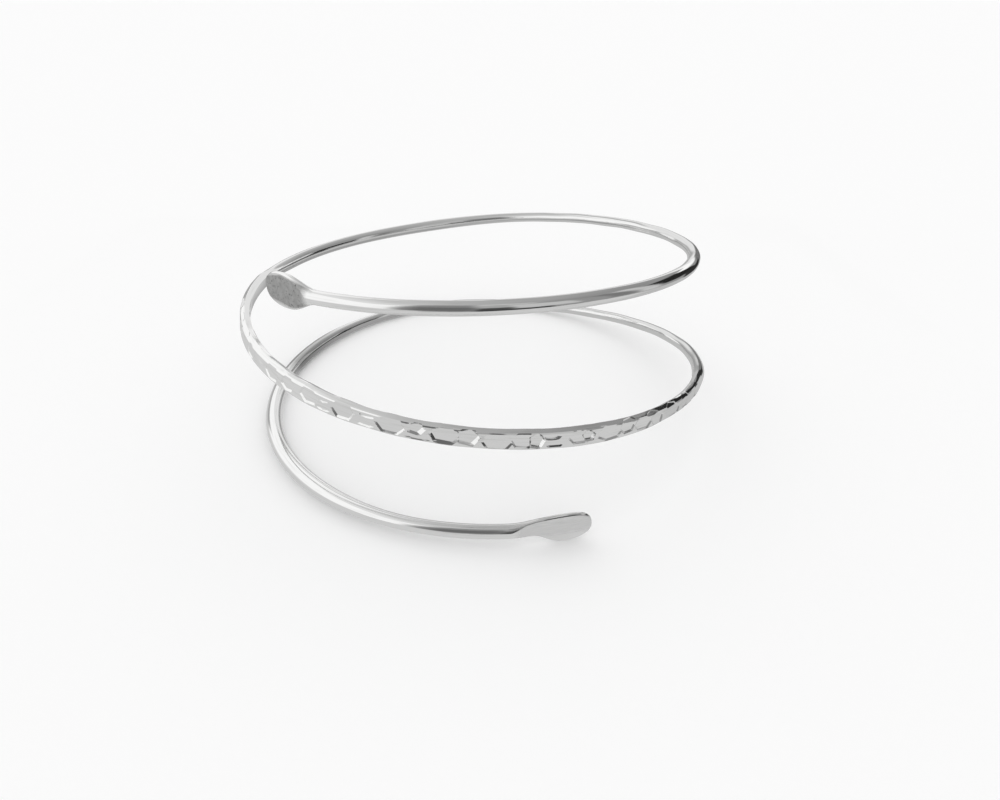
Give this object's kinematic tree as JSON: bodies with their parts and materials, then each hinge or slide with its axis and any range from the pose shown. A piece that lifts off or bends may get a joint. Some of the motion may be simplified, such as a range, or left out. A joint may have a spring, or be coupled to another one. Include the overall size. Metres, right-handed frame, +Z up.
{
  "type": "spiral wire armlet",
  "caption": "Upper-arm cuff of one round wire wound in an open spiral, hammered along its middle turn, with a flat egg-shaped paddle at each free end.",
  "frame": {"origin": "middle of the armlet's outline box, on the surface that it rests on", "axes": "+Z up, along the way the arm goes in; -Y is the side where both paddles and the hammered flats face"},
  "size_m": [0.0846, 0.0855, 0.0357],
  "materials": {
    "silver_wire": "polished silver plate, lightly worn, with bright hammered flats"
  },
  "bodies": {
    "root": {"armlet": "silver_wire"}
  },
  "joints": []
}
